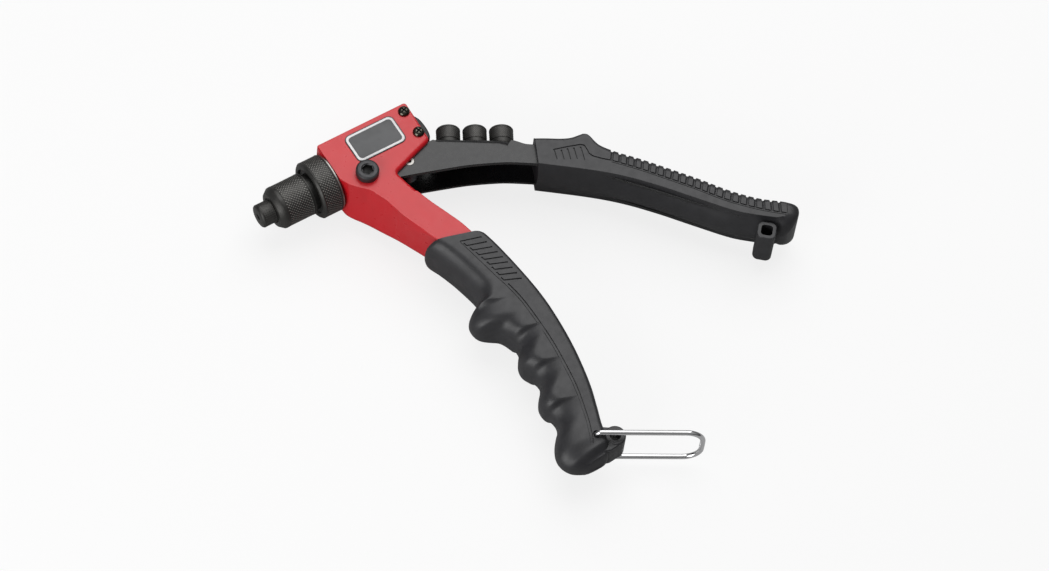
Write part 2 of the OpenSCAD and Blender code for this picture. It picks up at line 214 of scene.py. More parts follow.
def pillow(name, outline, low, high, edge, material=None, steps=5, other_rim=None, low_edge=None):
    """A plate between z low and z high whose rims are rounded. edge(point) gives the inset, or the
    move of the point as a vector, the drop, and how much of the other rim shape is used. low_edge does
    the same for the low side where that differs."""
    outline = tidy_outline(outline)
    normals = outline_normals(outline)
    loops = []

    def loop(z_of, phi, edge):
        pts = []
        inward, down = 1 - math.cos(phi), 1 - math.sin(phi)
        inward2, down2 = other_rim(phi / (math.pi / 2)) if other_rim else (inward, down)
        for p, n in zip(outline, normals):
            inset, drop, other = (tuple(edge(p)) + (0,))[:3]
            move = inset if hasattr(inset, "x") else -n * inset
            q = p + move * (inward + (inward2 - inward) * other)
            pts.append((q.x, q.y, z_of(drop * (down + (down2 - down) * other))))
        return pts

    for k in range(steps + 1):
        phi = math.pi / 2 * (1 - k / steps)
        loops.append(loop(lambda d: low + d, phi, low_edge or edge))
    for k in range(steps + 1):
        phi = math.pi / 2 * k / steps
        loops.append(loop(lambda d: high - d, phi, edge))
    return rings(name, loops, material)


def table_rim(table):
    """A rim shape from (part of the way, inward, down) rows."""
    def shape(t):
        for (t0, u0, w0), (t1, u1, w1) in zip(table, table[1:]):
            if t <= t1:
                f = (t - t0) / (t1 - t0)
                return u0 + (u1 - u0) * f, w0 + (w1 - w0) * f
        return table[-1][1:]
    return shape


def tidy_outline(outline, gap=0.04):
    """Vectors of the outline with repeated points dropped."""
    pts = vectors(outline)
    out = [pts[0]]
    for p in pts[1:]:
        if (p - out[-1]).length > gap:
            out.append(p)
    if (out[0] - out[-1]).length <= gap:
        out.pop()
    return out


def prism(name, outline, low, high):
    return rings(name, [[(p.x, p.y, z) for p in tidy_outline(outline)] for z in (low, high)])


def cylinder_z(name, at, r, low, high, seg=64):
    return rings(name, [[(p.x, p.y, z) for p in arc(at, r, 0, 360, seg)[:-1]] for z in (low, high)])


def cylinder_x(name, r, x0, x1, seg=96):
    return rings(name, [[(x, r * math.cos(TAU * i / seg), r * math.sin(TAU * i / seg)) for i in range(seg)]
                        for x in (x0, x1)])


def face_outwards(obj):
    """Makes all normals of a closed mesh point out, whichever way its outline was drawn."""
    bm = bmesh.new()
    bm.from_mesh(obj.data)
    bmesh.ops.recalc_face_normals(bm, faces=bm.faces)
    bm.to_mesh(obj.data)
    bm.free()


def boolean(obj, tools, operation="DIFFERENCE"):
    """Applies an exact boolean with each tool in turn, and removes the tools."""
    for piece in [obj] + tools:
        face_outwards(piece)
    for tool in tools:
        modifier = obj.modifiers.new("cut", "BOOLEAN")
        modifier.operation = operation
        modifier.solver = "EXACT"
        modifier.object = tool
    graph = bpy.context.evaluated_depsgraph_get()
    mesh = bpy.data.meshes.new_from_object(obj.evaluated_get(graph))
    obj.modifiers.clear()
    old = obj.data
    obj.data = mesh
    bpy.data.meshes.remove(old)
    for tool in tools:
        bpy.data.objects.remove(tool)
    return obj


def engraved(lines, height, width, depth):
    """Tools for flat-bottomed grooves along lines of 2-D points, on both flat sides. height(point) is
    the side's z."""
    tools = []
    for line in lines:
        pts = vectors(line)
        last = len(pts) - 1
        for side in (-1, 1):
            loops = []
            for i, p in enumerate(pts):
                before = (p - pts[i - 1]).normalized() if i else (pts[1] - p).normalized()
                after = (pts[i + 1] - p).normalized() if i < last else before
                way = (before + after).normalized()
                out = Vector((way.y, -way.x)) / max(0.6, way.dot(after))
                z = height(p)
                loops.append([(p.x + out.x * width * w, p.y + out.y * width * w, side * (z + h)) for w, h in
                              ((-0.6, 0.3), (0.6, 0.3), (0.32, -depth), (-0.32, -depth))])
            tools.append(rings("groove", loops))
    return tools


def join(name, objects):
    """One object from several with the same materials."""
    bm = bmesh.new()
    for obj in objects:
        bm.from_mesh(obj.data)
    bm.to_mesh(objects[0].data)
    bm.free()
    for obj in objects[1:]:
        bpy.data.objects.remove(obj)
    objects[0].name = name
    return objects[0]


def wire(name, path, r, material=None, sides=20, closed=False):
    """Round wire along a path of 3-D points."""
    pts = vectors(path)
    last = len(pts) - 1
    loops = []
    side = None
    for i, p in enumerate(pts):
        t = (pts[min(last, i + 1)] - pts[max(0, i - 1)]).normalized()
        if side is None:
            side = t.orthogonal().normalized()
        side = (side - t * side.dot(t)).normalized()
        other = t.cross(side)
        loops.append([tuple(p + r * (side * math.cos(TAU * k / sides) + other * math.sin(TAU * k / sides)))
                      for k in range(sides)])
    return rings(name, loops, material)


# ---------------------------------------------------------------- materials

def node_material(name, color, metallic=0.0, roughness=0.4, coat=0.0, specular=0.5):
    mat = bpy.data.materials.new(name)
    mat.use_nodes = True
    shader = mat.node_tree.nodes["Principled BSDF"]
    shader.inputs["Base Color"].default_value = (*color, 1)
    shader.inputs["Metallic"].default_value = metallic
    shader.inputs["Roughness"].default_value = roughness
    shader.inputs["Coat Weight"].default_value = coat
    shader.inputs["Coat Roughness"].default_value = 0.12
    shader.inputs["Specular IOR Level"].default_value = specular
    return mat, mat.node_tree, shader


def position(tree, scale):
    """Object coordinates times a scale: the object's own space is in metres."""
    coords = tree.nodes.new("ShaderNodeTexCoord")
    mapping = tree.nodes.new("ShaderNodeMapping")
    mapping.inputs["Scale"].default_value = scale if hasattr(scale, "__len__") else (scale,) * 3
    tree.links.new(coords.outputs["Object"], mapping.inputs["Vector"])
    return mapping.outputs["Vector"]


def noise(tree, scale, detail=3.0, rough=0.5, stretch=1.0):
    node = tree.nodes.new("ShaderNodeTexNoise")
    node.inputs["Scale"].default_value = 1.0
    node.inputs["Detail"].default_value = detail
    node.inputs["Roughness"].default_value = rough
    vec = (scale, scale, scale) if not hasattr(stretch, "__len__") else tuple(scale * s for s in stretch)
    tree.links.new(position(tree, vec), node.inputs["Vector"])
    return node.outputs["Fac"]


def ramp(tree, value, stops):
    node = tree.nodes.new("ShaderNodeValToRGB")
    elements = node.color_ramp.elements
    while len(elements) < len(stops):
        elements.new(0.5)
    for element, (at, color) in zip(elements, stops):
        element.position = at
        element.color = (*color, 1) if hasattr(color, "__len__") else (color, color, color, 1)
    tree.links.new(value, node.inputs["Fac"])
    return node.outputs["Color"]


def bump(tree, shader, height, strength, distance):
    node = tree.nodes.new("ShaderNodeBump")
    node.inputs["Strength"].default_value = strength
    node.inputs["Distance"].default_value = distance
    tree.links.new(height, node.inputs["Height"])
    tree.links.new(node.outputs["Normal"], shader.inputs["Normal"])
    return node


def paint(name, color, dark, roughness, coat, peel):
    """Sprayed paint: slight change of shade, orange peel, and fine dust in the gloss."""
    mat, tree, shader = node_material(name, color, 0.0, roughness, coat)
    shade = ramp(tree, noise(tree, 90, 2), [(0.35, dark), (0.65, color)])
    tree.links.new(shade, shader.inputs["Base Color"])
    gloss = ramp(tree, noise(tree, 420, 4), [(0.3, roughness * 0.8), (0.75, roughness * 1.25)])
    tree.links.new(gloss, shader.inputs["Roughness"])
    bump(tree, shader, noise(tree, 900, 2), peel, 0.00006)
    return mat


def moulded(name, color, light, roughness, grain=0.25):
    """Satin moulded grip: fine sparkle grain and a little variation in the sheen."""
    mat, tree, shader = node_material(name, color, 0.0, roughness)
    shade = ramp(tree, noise(tree, 140, 4), [(0.3, color), (0.7, light)])
    tree.links.new(shade, shader.inputs["Base Color"])
    sheen = ramp(tree, noise(tree, 350, 3), [(0.3, roughness * 0.9), (0.7, roughness * 1.12)])
    tree.links.new(sheen, shader.inputs["Roughness"])
    bump(tree, shader, noise(tree, 2600, 2), grain, 0.00005)
    return mat


def steel(name, color, dark, roughness, stretch=(1, 1, 1), scale=700, grain=0.3):
    """Metal with fine tool marks; stretch flattens the marks along an axis."""
    mat, tree, shader = node_material(name, color, 1.0, roughness)
    shade = ramp(tree, noise(tree, 160, 4), [(0.3, dark), (0.7, color)])
    tree.links.new(shade, shader.inputs["Base Color"])
    marks = noise(tree, scale, 3, 0.6, stretch)
    gloss = ramp(tree, marks, [(0.25, roughness * 0.75), (0.8, roughness * 1.3)])
    tree.links.new(gloss, shader.inputs["Roughness"])
    bump(tree, shader, marks, grain, 0.00004)
    return mat


def black_oxide(name, color, dark, tip):
    """Black-oxide steel: mottled, a little brown, with a painted highlight on the tips of the knurling."""
    mat, tree, shader = node_material(name, color, 0.75, 0.46)
    shade = ramp(tree, noise(tree, 260, 4, 0.6), [(0.3, dark), (0.7, color)])
    attribute = tree.nodes.new("ShaderNodeAttribute")
    attribute.attribute_name = "peak"
    mix = tree.nodes.new("ShaderNodeMix")
    mix.data_type = "RGBA"
    mix.inputs["B"].default_value = (*tip, 1)
    tree.links.new(attribute.outputs["Fac"], mix.inputs["Factor"])
    tree.links.new(shade, mix.inputs["A"])
    tree.links.new(mix.outputs["Result"], shader.inputs["Base Color"])
    marks = noise(tree, 900, 3, 0.6)
    tree.links.new(ramp(tree, marks, [(0.25, 0.38), (0.8, 0.56)]), shader.inputs["Roughness"])
    bump(tree, shader, marks, 0.2, 0.00003)
    return mat


RED = paint("red_paint", (0.62, 0.010, 0.018), (0.59, 0.009, 0.016), 0.33, 0.14, 0.04)
GRIP = moulded("black_grip", (0.020, 0.020, 0.022), (0.027, 0.027, 0.030), 0.42)
PLATE = paint("plate_field", (0.050, 0.052, 0.056), (0.043, 0.045, 0.048), 0.35, 0.2, 0.05)
PLATE_RIM = paint("plate_rim", (0.012, 0.012, 0.012), (0.010, 0.010, 0.010), 0.35, 0.2, 0.05)
PLATE_LINE = paint("plate_line", (0.80, 0.80, 0.80), (0.74, 0.74, 0.75), 0.35, 0.2, 0.05)
LEVER = paint("black_paint", (0.010, 0.010, 0.011), (0.008, 0.008, 0.009), 0.30, 0.12, 0.06)
# The last colour is the painted highlight on the knurl tips.
OXIDE = black_oxide("black_oxide", (0.066, 0.065, 0.062), (0.045, 0.044, 0.042), (0.36, 0.35, 0.33))
SOCKET_STEEL = black_oxide("socket_steel", (0.075, 0.075, 0.078), (0.055, 0.055, 0.058), (0.1, 0.1, 0.1))
# Painted shade: a near-black that stands for the shade inside bores, sockets and screw recesses.
PAINTED_RECESS_SHADE = paint("recess_dark", (0.004, 0.004, 0.004), (0.003, 0.003, 0.003), 0.7, 0.0, 0.1)
# Painted shade: a very dark red for the walls inside the casting's slot, where shade falls.
PAINTED_SLOT_SHADE = paint("raw_casting", (0.020, 0.004, 0.004), (0.012, 0.003, 0.003), 0.7, 0.0, 0.2)
SCREW = steel("screw_black", (0.13, 0.125, 0.10), (0.05, 0.047, 0.038), 0.20)
SPRING_STEEL = steel("spring_steel", (0.16, 0.16, 0.17), (0.10, 0.10, 0.11), 0.3)
TURNED = steel("turned_steel", (0.40, 0.39, 0.37), (0.32, 0.31, 0.29), 0.36, (8, 1, 1))
BRIGHT = steel("bright_steel", (0.60, 0.60, 0.61), (0.50, 0.50, 0.51), 0.25)
CHROME = steel("chrome", (0.86, 0.86, 0.87), (0.80, 0.80, 0.81), 0.10, grain=0.08)
PLASTIC = moulded("black_plastic", (0.006, 0.006, 0.007), (0.009, 0.009, 0.010), 0.5, 0.1)


def skin(node, material):
    """Gives a carried-over CAD node a material."""
    for i in range(len(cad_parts[node].material_slots)):
        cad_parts[node].material_slots[i].link = "OBJECT"
        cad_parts[node].material_slots[i].material = material


def place(obj, body, nodes, angle=32, weighted=False):
    """Finishes a piece and lets it stand for its CAD nodes."""
    finish_mesh(obj, angle, weighted)
    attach(obj, body)
    if nodes:
        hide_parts(*nodes)
    return obj


# ---------------------------------------------------------------- body casting

HALF = 13.3
SHANK_REAR = [(66.3, -18.7), (68.4, -27.5), (71.4, -37.5), (75.1, -47), (78.5, -56), (80.5, -64)]
# The front of the shank, which slopes: pairs of a point low on it and one at its edge on the plate side
SHANK_FRONT = [
    ((64.4, -60), (64.9, -60)), ((58.9, -48.1), (59.8, -48.1)), ((54.7, -39.4), (56.3, -38.8)),
    ((51.4, -33.6), (55.0, -33.4)), ((49.0, -29.3), (53.7, -28.3)), ((46.8, -25.4), (51.7, -23.8)),
    ((44.6, -21.9), (49.9, -19.9)), ((42.0, -18.1), (46.2, -16.0)), ((40.3, -14.6), (42.6, -11.8)),
    ((39.8, -10.0), (40.4, -7.2)),
]
BEVEL_FOOT = catmull([foot for foot, edge in SHANK_FRONT], 8)
BEVEL_EDGE = catmull([edge for foot, edge in SHANK_FRONT], 8)
BODY = (arc((41.1, 12.6), 1.3, 180, 90) + arc((87.9, 12.4), 1.5, 90, 0) + arc((86.6, -7.2), 2.8, 0, -75)
        + arc((68.2, -18.4), 2, 105, 180) + catmull(SHANK_REAR, 8) + BEVEL_FOOT)
SLOT = [(45.5, 11.4), (120, 11.4), (120, -49.5), (80, -49.5), (72.6, -40.7), (66.2, -33.2),
        (60, -26.2), (54, -19.8), (49.5, -18.2), (46.4, -14.8), (45.5, -11)]
PIVOT = (53.3, -11)
CAP_SCREWS = [(86.1, 9.6), (86.4, -3.6)]


def body_edge(p):
    """Rim rounding of the casting: a sloping front below the nose, a bold fillet at the rear."""
    i = min(range(len(BEVEL_FOOT)), key=lambda k: (BEVEL_FOOT[k] - p).length)
    if (p - BEVEL_FOOT[i]).length < 0.05:
        move = BEVEL_EDGE[i] - BEVEL_FOOT[i]
        return move, 0.6 + 21.4 * min(1.0, max(0.0, move.length - 0.6) / 1.5), min(1.0, move.length / 2)
    if p.x > 66 and -30 < p.y < -6.5:
        return 2.15, 2.0
    return 0.55, 0.6


def body_low_edge(p):
    """The same on the side away from the plate, where the front of the shank is only rounded."""
    if p.x < 66 and p.y < -9:
        return 4.2, 4.6
    return body_edge(p)


def sloping_rim(t):
    """Flat, with a small radius at each end."""
    return 0.98 * t + 0.02 * t ** 6, 1 - t + 0.015 * (t - t ** 8)


def shade_inside(obj, material, test):
    """Gives a second material to the faces whose centre, in millimetres, and normal pass the test."""
    obj.data.materials.append(material)
    for polygon in obj.data.polygons:
        if test(polygon.center / MM, polygon.normal):
            polygon.material_index = len(obj.data.materials) - 1


def make_body():
    body = pillow("casting", BODY, -HALF, HALF, body_edge, RED, 8, sloping_rim, body_low_edge)
    cutters = [prism("slot", SLOT, -10.5, 10.5), cylinder_x("bore", 9.0, 38, 46.5),
               cylinder_z("pivot_hole", PIVOT, 3.0, -20, 20)]
    cutters += [cylinder_z("screw_hole", at, 1.55, -20, 20, 32) for at in CAP_SCREWS]
    boolean(body, cutters)
    # Painted shade on the inner walls of the slot.
    shade_inside(body, PAINTED_SLOT_SHADE, lambda c, n: abs(c.z) < 10.6 and c.x > 45 and c.y > -49 and abs(n.z) > 0.9)
    place(body, "frame", ["body_casting"], 28, True)


# ---------------------------------------------------------------- grips

LOWER_REAR = catmull([
    (83.0, -64.4), (84.2, -65.3), (85.4, -67.6), (87.5, -76.9), (89.7, -91.3), (91.5, -106.3), (91.7, -120),
    (90.2, -140), (86.9, -158.3), (83.8, -169.3), (80.9, -178), (79.6, -184), (78.2, -189.5), (74.5, -193.4),
    (70.0, -194.4)], 24)
LOWER_FRONT = catmull([
    (58.1, -57.3), (57.9, -59.5), (60.2, -65.0), (63.0, -73.5), (65.1, -81.9), (66.3, -88), (66.0, -92.0),
    (63.9, -95.2), (59.6, -97.0), (56.9, -99.4), (56.1, -102.4), (57.0, -105.9), (60.0, -108.4),
    (64.7, -111.5), (67.6, -115.6), (69.2, -120.5), (69.0, -124.6), (66.9, -127.6), (65.2, -130.5),
    (65.0, -133.5), (66.6, -136.8), (68.2, -141), (68.3, -144.6), (66.6, -147.5), (63.9, -150.6),
    (62.2, -153.6), (62.2, -157.2), (63.7, -161.2), (64.1, -165.4), (62.9, -168.9), (60.2, -171.8),
    (57.4, -175.3), (55.3, -179.5), (54.9, -183.7), (56.3, -187.8), (60.2, -191.6), (65.5, -193.8),
    (70.0, -194.4)], 24)
# Pairs of points, front and rear, that the grip's cross rows join
LOWER_ROWS = [
    ((58.1, -57.3), (83.0, -64.4)), ((60.2, -65.0), (85.4, -71.5)), ((66.0, -85.5), (89.9, -95.5)),
    ((63.9, -95.2), (91.0, -101.0)), ((56.1, -102.4), (91.5, -106.3)), ((69.2, -121.5), (91.7, -121)),
    ((65.0, -132.5), (91.0, -133)), ((68.4, -143.4), (89.6, -144)), ((61.9, -155.5), (87.4, -156)),
    ((64.1, -165.4), (84.8, -166)), ((54.9, -183.7), (79.9, -182.5)), ((60.2, -191.6), (77.9, -190.0)),
    ((70.0, -194.4), (70.0, -194.4)),
]
# Half-width at each height, from the collar down
LOWER_WIDTH = [(61, 14.8), (79, 14.5), (121, 13.2), (152, 12.0), (171, 10.7), (181, 10.6), (187.5, 9.6), (192, 6.4),
               (194.4, 0.05)]
# How far the front rounding reaches from the front outline, down the grip: it jumps at the head of each lobe
LOWER_ROUND = [(0, 9.5), (28, 10.0), (40, 8.0), (43.5, 21.5), (52, 17), (61.5, 8.5), (64.5, 17.0), (81, 8.5),
               (84.5, 15.5), (103, 8.0), (106.5, 16), (120, 15), (131, 18), (141, 10)]
COMB_TOP = [(72.0, -65.4), (82.0, -68.2)]
COMB_BOTTOM = [(79.2, -93.2), (87.0, -96.4)]
SIDE_LINE = catmull([(72.0, -65.4), (74.5, -76.4), (77.0, -88.1), (79.3, -97.5), (81.0, -108.5), (81.5, -125.9),
                     (80.9, -140.3), (79.0, -156.8), (75.8, -170.8), (72.8, -179.9), (70.4, -185.8)], 6)
REAR_CORNER = 2.6


def grip_rows(front, rear, pairs, spacing):
    """Matching points on the front and rear curves, row by row."""
    front_len, rear_len = lengths(front), lengths(rear)
    keys = [(nearest_length(front, front_len, Vector(f)), nearest_length(rear, rear_len, Vector(r)))
            for f, r in pairs]
    rows = []
    for (f0, r0), (f1, r1) in zip(keys, keys[1:]):
        count = max(2, round(max(f1 - f0, r1 - r0) / spacing))
        for k in range(count):
            t = k / count
            rows.append((along(front, front_len, f0 + (f1 - f0) * t), along(rear, rear_len, r0 + (r1 - r0) * t)))
    rows.append((front[-1].copy(), rear[-1].copy()))
    return rows


def grip_section(width, half, corner, reach, groove=None):
    """Points (d from the rear, z) of half a section, from the rear's mid-plane to the front's."""
    corner = min(corner, width * 0.3, half * 0.8)
    reach = min(reach, width - corner - 0.2)
    pts = []
    for k in range(4):
        pts.append((0.0, (half - corner) * k / 4))
    for k in range(7):
        a = math.pi / 2 * k / 6
        pts.append((corner * (1 - math.cos(a)), half - corner * (1 - math.sin(a))))
    flat_end = width - reach
    steps = 26
    for k in range(1, steps + 1):
        pts.append((corner + (flat_end - corner) * k / steps, half))
    power = 2.25
    for k in range(1, 23):
        a = math.pi / 2 * k / 22
        pts.append((flat_end + reach * math.sin(a) ** (2 / power), half * max(0.0, math.cos(a)) ** (2 / power)))
    return pts


def make_lower_grip():
    rows = grip_rows(LOWER_FRONT, LOWER_REAR, LOWER_ROWS, 0.7)
    loops = []
    travelled = 0.0
    before = None
    for front, rear in rows:
        mid = (front + rear) / 2
        if before is not None:
            travelled += (mid - before).length
        before = mid
        span = front - rear
        width = max(span.length, 0.02)
        way = span.normalized() if span.length > 1e-6 else Vector((-1, 0))
        half = blend_table(LOWER_WIDTH, -mid.y)
        reach = blend_table(LOWER_ROUND, travelled)
        half_loop = grip_section(width, half, REAR_CORNER, reach)
        ring = [(rear + way * d, z) for d, z in half_loop]
        loop = [(q.x, q.y, z) for q, z in ring] + [(q.x, q.y, -z) for q, z in reversed(ring[1:-1])]
        loops.append(loop)
    grip = rings("lower_grip_skin", loops[:-1], GRIP)
    eye = pillow("eye", arc((83.5, -186.2), 5.1, 0, 360, 40)[:-1], -7.3, 7.3, lambda p: (0.7, 0.7), GRIP, 4)
    neck = pillow("neck", [(83.5, -181.1), (78, -177.5), (72, -178), (72, -190), (78, -191.8), (83.5, -191.3)],
                  -6.9, 6.9, lambda p: (0.6, 0.6), GRIP, 4)
    boolean(grip, [eye, neck], "UNION")
    cutters = [cylinder_z("eye_bore", (83.5, -186.2), 2.7, -12, 12)]
    for side in (-1, 1):
        low, high = sorted((side * 7.1, side * 14))
        cutters.append(cylinder_z("bail_hole", (75.2, -182.7), 1.32, low, high, 32))
        low, high = sorted((side * 9.4, side * 14))
        cutters.append(cylinder_z("bail_recess", (75.2, -182.7), 2.0, low, high, 32))
    boolean(grip, cutters)

    def height(p):
        return blend_table(LOWER_WIDTH, -p.y)

    lines, border = comb_lines()
    boolean(grip, engraved(lines, height, 0.75, 0.55))
    boolean(grip, engraved(border, height, 0.4, 0.3))
    place(grip, "frame", ["lower_grip"], 26)


def comb_lines():
    """Grooves on the side of the lower grip: nine ticks stepped down a line, then the line runs on."""
    count = 9
    left_top, right_top = vectors(COMB_TOP)
    left_low, right_low = vectors(COMB_BOTTOM)
    lines = []
    for i in range(count):
        t = i / (count - 1)
        bow = 1.3 * math.sin(math.pi * t)
        left = left_top.lerp(left_low, t) + Vector((bow, 0))
        right = right_top.lerp(right_low, t) + Vector((bow * 0.6, 0))
        line = [left, left.lerp(right, 0.5), right]
        if i:
            line = [left + Vector((-0.5, 1.9)), left + Vector((-0.15, 0.4))] + line
        lines.append(line)
    inner = [p + Vector((1.0, 0.15)) for p in SIDE_LINE if p.y < -95]
    lines.append(inner)
    return lines, [[p + Vector((-0.3, 0)) for p in SIDE_LINE]]


UPPER_TOP = catmull([
    (133.6, -32.6), (138.5, -35.3), (144.7, -39), (149.2, -41.0), (153.3, -41.7), (155.6, -42.2),
    (157.2, -43.5), (158, -45.6), (158.7, -49), (159.9, -52), (163.4, -56.5), (172.8, -66.9), (182.4, -78.7),
    (191.9, -90.7), (201, -103), (211.2, -114), (220.4, -122)], 6)
UPPER_END = catmull([(220.4, -122), (223.6, -125.2), (224.1, -128.0), (222.2, -131.0), (218, -133.6),
                     (213.4, -134.3), (209.6, -132.4)], 6)
UPPER_LOW = catmull([
    (209.6, -132.4), (201.8, -125.1), (192, -116.2), (183.9, -106.5), (171.2, -90.4), (158.1, -75),
    (143.7, -61.5), (127.2, -47.9)], 6)
UPPER = UPPER_TOP + UPPER_END[1:] + UPPER_LOW[1:]
UPPER_HALF = 13.2
RIB_START = (163.7, -56.9)
RIB_PITCH = 3.8
RIB_COUNT = 24
RIB_DEPTH = 7.1
PANEL = [(137.6, -45.2), (138.0, -43.6), (144.9, -45.6), (150.6, -47.5), (152.0, -48.8), (151.9, -51.2),
         (151.6, -53.6), (152.6, -56.0), (155.4, -59.0)]
TICKS = [((137.8, -44.4), (136.4, -49.0)), ((141.0, -45.4), (139.3, -50.6)), ((144.0, -46.3), (142.1, -52.2)),
         ((146.9, -47.4), (144.9, -53.6)), ((150.0, -48.6), (147.7, -56.0))]


# The edge of the flat side: round the end, and the crease along the bottom
END_FLAT = catmull([(218.4, -123.3), (218.2, -125.6), (217.0, -127.7), (214.4, -128.7), (211.4, -127.9)], 6)
CREASE = catmull([(211.4, -127.9), (203.3, -121.5), (195.6, -114.5), (184.1, -100.7), (172.7, -86.7),
                  (160.8, -73.6), (147.8, -62.0), (127.7, -46.4)], 6)


def onto(curve, flat, p):
    """The move that takes a point of one curve to the matching point of another."""
    total, flat_total = lengths(curve), lengths(flat)
    part = nearest_length(curve, total, p) / total[-1]
    return along(flat, flat_total, part * flat_total[-1]) - p


UNDER_RIM = table_rim([(0, 0, 1), (0.15, 0.03, 0.88), (0.3, 0.16, 0.72), (0.5, 0.42, 0.53), (0.7, 0.72, 0.36),
                       (0.85, 0.94, 0.22), (1, 1, 0)])


def upper_edge(p):
    """Rim rounding: soft along the top, broad round the end, and a bulge under a crease along the bottom."""
    if (p - UPPER_TOP[0]).length < 0.1:
        return Vector((-0.6, -2.3)), 3.0
    if (p - nearest(UPPER_LOW, p)).length < 0.05:
        return onto(UPPER_LOW, CREASE, p), 13.0, 1
    if (p - nearest(UPPER_END, p)).length < 0.05:
        total = lengths(UPPER_END)
        part = nearest_length(UPPER_END, total, p) / total[-1]
        late = max(0.0, 2 * part - 1)
        return onto(UPPER_END, END_FLAT, p), 3.4 + 9.6 * late, late
    hump = math.exp(-((p - Vector((157.5, -44.5))).length / 5) ** 2)
    ribbed = max(0.0, min(1.0, (p.x - 158) / 8, (218 - p.x) / 8))
    return 2.4 - 1.0 * hump + 1.7 * ribbed, 3.4 + 1.5 * ribbed


def nearest(points, p):
    return min(points, key=lambda q: (q - p).length)


def rim_profile(top, inward, edge, half, depth):
    """A path on the surface, from depth below the top edge on one side, over the top and down the other."""
    inset, drop = edge
    side = [(depth - 0.1, half - 0.05), ((depth + inset) / 2, half - 0.05)]
    side += [(inset * (1 - math.sin(a)), half - drop * (1 - math.cos(a))) for a in
             (math.pi / 2 * k / 5 for k in range(6))]
    side += [(0, (half - drop) * k / 3) for k in (2, 1, 0)]
    path = side + [(d, -z) for d, z in reversed(side[:-1])]
    return [(top.x + inward.x * d, top.y + inward.y * d, z) for d, z in path]


def make_ribs():
    """Scallops over the top of the grip and the border line under them."""
    total = lengths(UPPER_TOP)
    start = nearest_length(UPPER_TOP, total, Vector(RIB_START))
    tools = []
    border = []
    for i in range(RIB_COUNT + 1):
        s = start + i * RIB_PITCH
        here = along(UPPER_TOP, total, s)
        way = (along(UPPER_TOP, total, s + 0.5) - along(UPPER_TOP, total, s - 0.5)).normalized()
        inward = Vector((way.y, -way.x))
        slant = inward + way * 0.22
        if s < total[-1] - 1:
            tools.append(wire("scallop", rim_profile(here, slant, upper_edge(here), UPPER_HALF, RIB_DEPTH), 0.8, sides=8))
        border.append(here + slant * RIB_DEPTH)
    return tools, border


def make_upper_grip():
    grip = pillow("upper_grip_skin", UPPER, -UPPER_HALF, UPPER_HALF, upper_edge, GRIP, 8, UNDER_RIM)
    scallops, border = make_ribs()
    lines = [list(line) for line in TICKS] + [PANEL + border]
    boolean(grip, engraved(lines, lambda p: UPPER_HALF, 0.7, 0.6) + scallops)
    below = [p + Vector((-0.55, -0.7)) for p in border]
    boolean(grip, engraved([below], lambda p: UPPER_HALF, 0.35, 0.3))
    place(grip, "lever", ["upper_grip"], 42, True)
    make_catch()


def rounded_square(centre, size, r, angle, n=6):
    flat = size / 2 - r
    pts = []
    for k, (sx, sy) in enumerate(((1, 1), (-1, 1), (-1, -1), (1, -1))):
        pts += arc((sx * flat, sy * flat), r, 90 * k, 90 * k + 90, n)
    c, s = math.cos(math.radians(angle)), math.sin(math.radians(angle))
    return [Vector((centre[0] + c * p.x - s * p.y, centre[1] + s * p.x + c * p.y)) for p in pts]


def make_catch():
    at = (204.3, -130.4)
    outer = rounded_square(at, 9.2, 2.9, -41)
    tube = pillow("catch_tube", outer, -10.7, 10.7, lambda p: (0.5, 0.5), GRIP, 3)
    boolean(tube, [prism("hole", rounded_square(at, 5.6, 1.6, -41), -8.0, 20)])
    place(tube, "lever", [], 30)


# ---------------------------------------------------------------- lever

WEB = [(92, -8.2), (96.4, -10.66), (119.9, -23.8)]
WEB_BEND = catmull([(121.6, -25), (125.7, -28.9), (129, -32.7), (133, -35.4)], 6)
INNER_TOP = catmull([(133, -35.4), (141, -41.5), (151.5, -47.8), (158, -58.5), (180, -83.5), (203, -112)], 4)
INNER_LOW = catmull([(197, -117), (177, -94), (156, -70), (142, -57), (127.1, -44.4)], 4)
LEVER_LOW = catmull([(127.1, -44.4), (117.9, -38.6), (112.7, -35.8), (104, -31.8), (94.9, -28.2), (76.3, -22),
                     (67.3, -19.2)], 6)
CHEEK = (arc(PIVOT, 6.5, 180, 75, 12) + vectors([(63, -8.6), (91.4, -8.9)]) + vectors(WEB) + WEB_BEND + INNER_TOP
         + INNER_LOW + LEVER_LOW + arc(PIVOT, 6.5, -75, -180, 12))
LEVER_HALF = 10.15
SHEET = 1.8


def lever_edge(p):
    if p.x > 91.8 and p.y > -8.2 - (p.x - 92) * 0.5589 - 1.2 and p.x < 134:
        bend = min(1.0, max(0.0, (p.x - 116) / 6))
        return 2.9 + 2.1 * bend, 2.9 + 1.1 * bend
    return 0.3, 0.3


def make_lever():
    outer = pillow("lever_channel_skin", CHEEK, -LEVER_HALF, LEVER_HALF, lever_edge, LEVER, 5)
    web = vectors([(92, -8.2), (120, -23.85)]) + WEB_BEND + INNER_TOP
    inside = [p - SHEET * Vector((0.55, 0.84)) for p in web] + vectors([(190, -140), (60, -60), (60, -11)])
    gap = prism("gap", [(40, -30), (91.2, -30), (91.2, 10), (40, 10)], SHEET - LEVER_HALF, LEVER_HALF - SHEET)
    core = prism("core", inside, SHEET - LEVER_HALF, LEVER_HALF - SHEET)
    cutters = [core, gap, cylinder_z("pivot_hole", PIVOT, 3.0, -20, 20), cylinder_z("pin_hole", (75.4, -13.7), 2.5, -20, 20)]
    boolean(outer, cutters)
    place(outer, "lever", ["lever_channel"], 30, True)


# ---------------------------------------------------------------- nose parts

